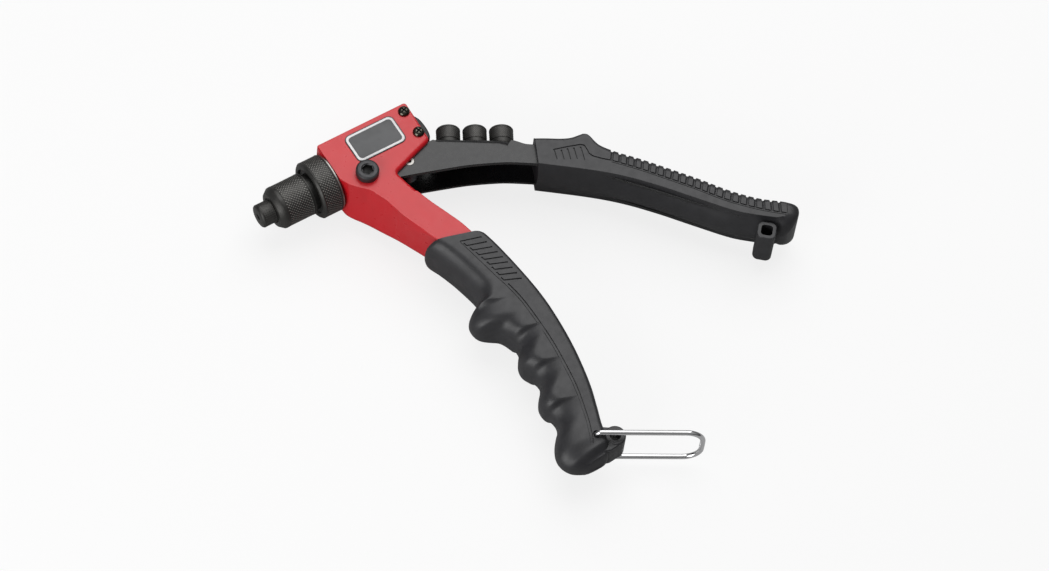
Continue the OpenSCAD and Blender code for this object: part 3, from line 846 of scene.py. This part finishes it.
def knurled(name, before, after, x0, x1, r, depth, pitch, material):
    """A turned part with a diamond-knurled band. before and after are the plain profile each side of it.
    The attribute "peak" marks the tips of the diamonds, which the material brightens as a painted highlight."""
    quarters = 4 * round(TAU * r / pitch)
    cells = max(1, round((x1 - x0) / pitch * 4))
    band = [(x0 + (x1 - x0) * i / cells, i) for i in range(cells + 1)]
    profile = [(x, rr, None) for x, rr in before] + [(x, r, i) for x, i in band] + [(x, rr, None) for x, rr in after]
    loops = []
    peaks = []
    for j in range(quarters):
        a = TAU * j / quarters
        loop = []
        for x, rr, i in profile:
            peak = 0.0
            if i is not None and 0 < i < cells:
                u, v = (i + j) / 4, (i - j) / 4
                rise = 2 * min(abs(u - round(u)), abs(v - round(v)))
                rr = r - depth * (1 - rise)
                # How strongly the material paints a highlight on this tip.
                peak = max(0.0, 2 * rise - 1) * min(1.0, 8 * depth * depth)
            loop.append((x, rr * math.cos(a), rr * math.sin(a)))
            peaks.append(peak)
        loops.append(loop)
    obj = rings(name, loops, material, closed=True)
    obj.data.attributes.new("peak", "FLOAT", "POINT").data.foreach_set("value", peaks)
    return obj


def make_nose():
    bore = [(26.5, 9.05), (24.2, 9.05), (16, 9.05), (16, 6.65), (14, 6.65), (14, 4.05), (10.55, 4.05), (10.55, 6.4),
            (7.5, 6.4)]
    front = [(7.5, 8.5), (7.62, 8.75), (10.0, 10.6), (10.6, 10.7), (11.6, 10.7)]
    rear = [(25.4, 10.7), (25.5, 10.3), (25.7, 10.3), (25.8, 10.7), (26.3, 10.7), (26.5, 10.4)]
    sleeve = knurled("sleeve", bore + front, rear, 11.9, 25.2, 10.7, 0.36, 1.6, OXIDE)
    place(sleeve, "sleeve", ["front_sleeve"], 40)
    mouth = [(39, 9.05), (29.8, 9.05), (29.7, 11.4), (28.7, 11.6), (28.5, 11.8), (28.5, 13.4), (28.7, 13.7),
             (29.4, 14.4), (29.7, 14.6)]
    ring = knurled("ring", mouth, [(38.7, 14.6), (39, 14.35)], 29.9, 38.5, 14.6, 0.36, 1.6, OXIDE)
    place(ring, "ring", ["lock_ring"], 40)
    washer = lathe("washer", [(39, 9.05), (39, 14.1), (39.1, 14.2), (39.7, 14.2), (39.8, 14.1), (39.8, 9.05)],
                   TURNED, 96)
    place(washer, "frame", ["nose_washer"], 30)


def paint_bore_shade(obj, r, x0, x1):
    """Painted shade inside a bore: a near-black on the faces within radius r, from x0 to x1."""
    shade_inside(obj, PAINTED_RECESS_SHADE, lambda c, n: math.hypot(c.y, c.z) < r and x0 < c.x < x1)


def nosepiece_mesh(name, bore):
    """Face at x 0, threaded shank towards +X."""
    thread = []
    x = 10.9
    while x < 15.2:
        thread += [(x, 4.0), (x + 0.25, 3.7), (x + 0.5, 4.0)]
        x += 0.7
    face = [(15.7, bore), (0.35, bore), (0.0, bore + 0.3), (0.0, 4.9), (0.25, 5.45), (0.8, 5.85), (1.2, 5.9)]
    foot = [(7.25, 5.9), (7.4, 5.65), (7.6, 5.65), (7.75, 5.9), (9.9, 5.9), (10.5, 5.5), (10.5, 4.0)]
    tip = knurled(name, face, foot + thread + [(15.4, 4.0), (15.7, 3.6)], 1.3, 7.1, 5.9, 0.2, 1.1, OXIDE)
    # Painted shade down the nosepiece's bore.
    paint_bore_shade(tip, bore + 0.4, -1, 15)
    return tip


def make_nosepieces():
    mounted = nosepiece_mesh("tip_mounted", 1.3)
    place(mounted, "tip", ["nosepiece"], 40)
    slope = math.radians(-29.2)
    for i, bore in enumerate((1.0, 1.6, 1.9)):
        spare = nosepiece_mesh(f"tip_spare_{i + 1}", bore)
        reach = 20.9 + (i - 1) * 12.85
        foot = Vector((92 + reach * math.cos(slope), -8.2 + reach * math.sin(slope), 0))
        out = Vector((-math.sin(slope), math.cos(slope), 0))
        top = foot + out * 10.53
        turn = Matrix((Vector((-out.x, -out.y, 0)), Vector((0, 0, 1)), Vector((-out.y, out.x, 0)))).transposed()
        spare.data.transform(Matrix.Translation(top * MM) @ turn.to_4x4())
        place(spare, f"spare_{i + 1}", [f"spare_nosepiece_{i + 1}"], 40)


# ---------------------------------------------------------------- small parts

def make_plate():
    def rounded(w, h, r):
        pts = []
        for k, (sx, sy) in enumerate(((1, 1), (-1, 1), (-1, -1), (1, -1))):
            pts += arc((66.3 + sx * (w / 2 - r), 3.2 + sy * (h / 2 - r)), r, 90 * k, 90 * k + 90, 8)
        return pts

    rim = pillow("plate_rim", rounded(26.9, 16.1, 3.0), HALF, HALF + 0.4, lambda p: (0.15, 0.15), PLATE_RIM, 3)
    line = pillow("plate_line", rounded(25.9, 15.1, 2.6), HALF + 0.3, HALF + 0.46, lambda p: (0.05, 0.05), PLATE_LINE, 2)
    field = pillow("plate_field", rounded(23.7, 12.9, 1.8), HALF + 0.3, HALF + 0.5, lambda p: (0.05, 0.05), PLATE, 2)
    place(rim, "frame", ["name_plate"])
    place(line, "frame", [])
    place(field, "frame", [])


def make_cap():
    bulge = catmull([(88.2, 8.6), (89.8, 7.4), (91.1, 5.4), (91.9, 2.6), (92.1, -2.6), (91.4, -6.2), (90.4, -7.6)], 6)
    outline = vectors([(81.5, -7.6), (81.5, 11.2), (87, 11.2)]) + bulge
    cap = pillow("rear_cap_skin", outline, -10.4, 10.4, lambda p: (0.9, 0.9), PLASTIC, 4)
    boolean(cap, [cylinder_x("exit", 4.2, 80, 100)])
    place(cap, "frame", ["rear_cap"], 32, True)


def turn_up(side, at, z):
    """Turns a part made along X so that it points to +Z or -Z at a place of the side view."""
    turn = Matrix(((0, 1, 0), (0, 0, side), (side, 0, 0))).to_4x4()
    return Matrix.Translation(Vector((at[0], at[1], z)) * MM) @ turn


def make_pan_screws():
    """Pan-head screws with cross recesses, two each side, joined into one piece."""
    profile = [(-6.3, 1.45), (0, 1.45), (0, 2.7), (0.15, 2.85), (0.6, 2.8), (1.15, 2.5), (1.6, 2.0), (1.9, 1.3), (2.0, 0.02)]
    screws = []
    for at in CAP_SCREWS:
        for side in (1, -1):
            head = lathe("pan_screw", profile, SCREW, 48, True)
            arms = []
            for turned in (20, 110):
                c, c2 = math.cos(math.radians(turned)), math.sin(math.radians(turned))
                arms.append(rings("arm", [[(z, u * w * c - v * t * c2, u * w * c2 + v * t * c) for u, v in
                                           ((-1, -1), (1, -1), (1, 1), (-1, 1))] for z, w, t in
                                          ((0.8, 0.8, 0.26), (2.4, 2.0, 0.5))]))
            boolean(head, arms)
            # Painted shade in the cross recess of each head.
            shade_inside(head, PAINTED_RECESS_SHADE, lambda c, n: 0.7 < c.x < 1.93 - 0.14 * (c.y ** 2 + c.z ** 2)
                         and math.hypot(c.y, c.z) < 1.7)
            head.data.transform(turn_up(side, at, side * HALF))
            screws.append(head)
    place(join("pan_screws", screws), "frame", ["rear_cap_screws"], 30)


def hex_prism(name, flats, x0, x1, turned=0):
    r = flats / math.sqrt(3)
    return rings(name, [[(x, r * math.cos(TAU * k / 6 + turned), r * math.sin(TAU * k / 6 + turned))
                         for k in range(6)] for x in (x0, x1)])


def make_pivot():
    """The socket cap screw that the lever turns on, and its nut on the far side."""
    head = [(-32.8, 2.6), (-32.5, 2.95), (0, 2.95), (0, 5.45), (0.15, 5.6), (3.1, 5.6), (3.4, 5.5), (3.85, 4.9),
            (4, 4.6), (4, 0.02)]
    screw = lathe("pivot_screw_skin", head, SOCKET_STEEL, 72, True)
    mouth = lathe("mouth", [(3.55, 0.02), (3.55, 2.75), (4.5, 3.7), (4.5, 0.02)], None, 48, True)
    boolean(screw, [mouth, hex_prism("socket", 5, 1.4, 6, 0.25)])
    # Painted shade in the hex socket.
    shade_inside(screw, PAINTED_RECESS_SHADE, lambda c, n: 1.2 < c.x < 3.5 and math.hypot(c.y, c.z) < 3)
    screw.data.transform(turn_up(1, PIVOT, HALF))
    place(screw, "frame", ["pivot_screw"], 30)
    nut = lathe("pivot_nut_skin", [(0, 3.0), (0, 5.0), (0.9, 5.8), (3.2, 5.8), (4.1, 4.9), (4.3, 4.6), (5, 4.5), (5, 3.0)],
                SOCKET_STEEL, 72)
    flats = hex_prism("flats", 10, -1, 4.1)
    collar = cylinder_x("collar", 4.6, -1, 6, 64)
    boolean(flats, [collar], "UNION")
    boolean(nut, [flats], "INTERSECT")
    nut.data.transform(turn_up(-1, PIVOT, -HALF))
    place(nut, "frame", ["pivot_nut"], 30)


def make_spring_pin():
    """A rolled pin, open down its middle."""
    end = 10.2
    profile = [(-end, 1.0), (-end, 2.2), (0.4 - end, 2.48), (end - 0.4, 2.48), (end, 2.2), (end, 1.0)]
    pin = lathe("spring_pin_skin", profile, TURNED, 48)
    pin.data.transform(turn_up(1, (75.4, -13.7), 0))
    place(pin, "lever", ["spring_pin"], 30)


def make_springs():
    first, last = 79.7, 163.4
    sweep = 5 * 360 + last - first
    half = sweep / 360 * 0.68
    path = []
    for i in range(181):
        a = math.radians(first + sweep * i / 180)
        path.append(Vector((75.4 + 4.1 * math.cos(a), -13.7 + 4.1 * math.sin(a), half * (2 * i / 180 - 1))))
    a, b = math.radians(first), math.radians(last)
    path = ([path[0] + 18 * Vector((math.sin(a), -math.cos(a), 0))] + path
            + [path[-1] + 19.5 * Vector((-math.sin(b), math.cos(b), 0))])
    spring = wire("return_coil", path, 0.6, SPRING_STEEL, 12)
    finish_mesh(spring, 60)
    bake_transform(spring)
    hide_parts("return_spring")
    coil = []
    for i in range(129):
        a = TAU * 4 * i / 128
        coil.append((31.5 + 5.0 * i / 128, 4.1 * math.cos(a), 4.1 * math.sin(a)))
    small = wire("pusher_coil", coil, 0.4, BRIGHT, 10)
    place(small, "pusher", ["pusher_spring"], 60)


def make_bail():
    """The wire bail: in through one hole, along a leg, round the end and back."""
    reach, corner, leg, turn_in = 50.3, 8.6, 12.1, 2.2
    half = [(0, 0, 7.4), (0, 0, leg - turn_in)]
    half += [(turn_in * (1 - math.cos(t)), 0, leg - turn_in + turn_in * math.sin(t))
             for t in (math.pi / 2 * k / 8 for k in range(1, 9))]
    half += [(turn_in + (reach - corner - turn_in) * k / 12, 0, leg) for k in range(1, 13)]
    half += [(reach - corner + corner * math.sin(t), 0, leg - corner + corner * math.cos(t))
             for t in (math.pi / 2 * k / 14 for k in range(1, 15))]
    path = half + [(x, y, -z) for x, y, z in reversed(half)]
    angle = math.radians(-30)
    c, s = math.cos(angle), math.sin(angle)
    path = [(75.2 + c * x - s * y, -182.7 + s * x + c * y, z) for x, y, z in path]
    place(wire("bail_wire", path, 1.25, CHROME, 28), "bail", ["bail"], 60)


# ---------------------------------------------------------------- stage

FLOOR_GLOW = 0.8
SKY_LOW = 0.03
SKY_MID = 0.12
SKY_HIGH = 0.36
OVERHEAD_WATTS = 11
NOSE_SIDE_WATTS = 7


def camera_only(tree, seen, other):
    """Picks one colour for the camera and another for every other ray."""
    path = tree.nodes.new("ShaderNodeLightPath")
    mix = tree.nodes.new("ShaderNodeMix")
    mix.data_type = "RGBA"
    mix.inputs["A"].default_value = (*other, 1)
    mix.inputs["B"].default_value = (*seen, 1)
    tree.links.new(path.outputs["Is Camera Ray"], mix.inputs["Factor"])
    return mix.outputs["Result"]


def make_stage():
    """A white floor that the camera sees almost without shadows, and that gives a soft bounce."""
    low = min(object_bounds()[0][2], cad_box[0][2])
    size = 3.0
    mat, tree, shader = node_material("floor", (0.9, 0.9, 0.9), 0.0, 0.9, specular=0.1)
    tree.links.new(camera_only(tree, (0.9, 0.9, 0.9), (0.42, 0.42, 0.42)), shader.inputs["Base Color"])
    glow = tree.nodes.new("ShaderNodeEmission")
    mix = tree.nodes.new("ShaderNodeMixShader")
    path = tree.nodes.new("ShaderNodeLightPath")
    amount = tree.nodes.new("ShaderNodeMath")
    amount.operation = "MULTIPLY"
    amount.inputs[1].default_value = FLOOR_GLOW
    tree.links.new(path.outputs["Is Camera Ray"], amount.inputs[0])
    tree.links.new(amount.outputs["Value"], mix.inputs["Fac"])
    tree.links.new(shader.outputs["BSDF"], mix.inputs[1])
    tree.links.new(glow.outputs["Emission"], mix.inputs[2])
    tree.links.new(mix.outputs["Shader"], tree.nodes["Material Output"].inputs["Surface"])
    half = size / MM / 2
    floor = new_object("floor", [(-half, -half, 0), (half, -half, 0), (half, half, 0), (-half, half, 0)],
                       [(0, 1, 2, 3)], mat)
    floor.location.z = low - 0.0005


def area_light(name, at, target, size, power, size_y=None):
    data = bpy.data.lights.new(name, "AREA")
    data.energy = power
    data.size = size
    if size_y:
        data.shape = "RECTANGLE"
        data.size_y = size_y
    lamp = bpy.data.objects.new(name, data)
    bpy.context.scene.collection.objects.link(lamp)
    lamp.location = at
    lamp.rotation_euler = (Vector(target) - Vector(at)).to_track_quat("-Z", "Y").to_euler()
    return lamp


def make_light():
    """A big soft box that the flat sides mirror, a fill from the nose side, and a sky that is dark low down."""
    scene = bpy.context.scene
    world = bpy.data.worlds.new("studio")
    world.use_nodes = True
    tree = world.node_tree
    coords = tree.nodes.new("ShaderNodeTexCoord")
    split = tree.nodes.new("ShaderNodeSeparateXYZ")
    tree.links.new(coords.outputs["Generated"], split.inputs["Vector"])
    sky = ramp(tree, split.outputs["Z"], [(0.0, SKY_LOW), (0.35, SKY_MID), (0.85, SKY_HIGH)])
    seen = camera_only(tree, (1, 1, 1), (0, 0, 0))
    tree.links.new(sky, tree.nodes["Mix"].inputs["A"])
    tree.links.new(seen, tree.nodes["Background"].inputs["Color"])
    scene.world = world
    scene.view_settings.view_transform = "Standard"
    target = Vector((0.11, -0.09, 0))
    overhead = Vector((0.31, 0.38, 0.87))
    area_light("overhead", target + overhead * 1.2, target, 1.3, OVERHEAD_WATTS)
    area_light("nose_side", target + Vector((-1.0, -0.25, 0.35)), target, 0.8, NOSE_SIDE_WATTS)


def make_camera():
    """Placed from the viewing direction: the vectors are the camera's right, up and back."""
    right = Vector((0.84767, -0.52558, 0.07234))
    up = Vector((0.43092, 0.76161, 0.48401))
    back = Vector((-0.30947, -0.37911, 0.87207))
    data = bpy.data.cameras.new("camera")
    data.sensor_width = 36
    data.lens = 178.46
    data.clip_end = 20
    camera = bpy.data.objects.new("camera", data)
    bpy.context.scene.collection.objects.link(camera)
    place_at = Matrix((right, up, back)).transposed().to_4x4()
    place_at.translation = Vector((-0.67284, -1.03016, 2.15284))
    camera.matrix_world = place_at
    bpy.context.scene.camera = camera


make_body()
make_lower_grip()
make_upper_grip()
make_lever()
make_nose()
make_nosepieces()
make_plate()
make_cap()
make_pan_screws()
make_pivot()
make_spring_pin()
make_springs()
make_bail()

for node, material in {
    "nose_tube": OXIDE, "lever_fork": TURNED, "pull_rod": TURNED, "jam_nut": TURNED, "jaw_case": TURNED,
    "jaw_1": BRIGHT, "jaw_2": BRIGHT, "jaw_3": BRIGHT, "jaw_pusher": TURNED,
}.items():
    skin(node, material)

make_stage()
make_light()
make_camera()
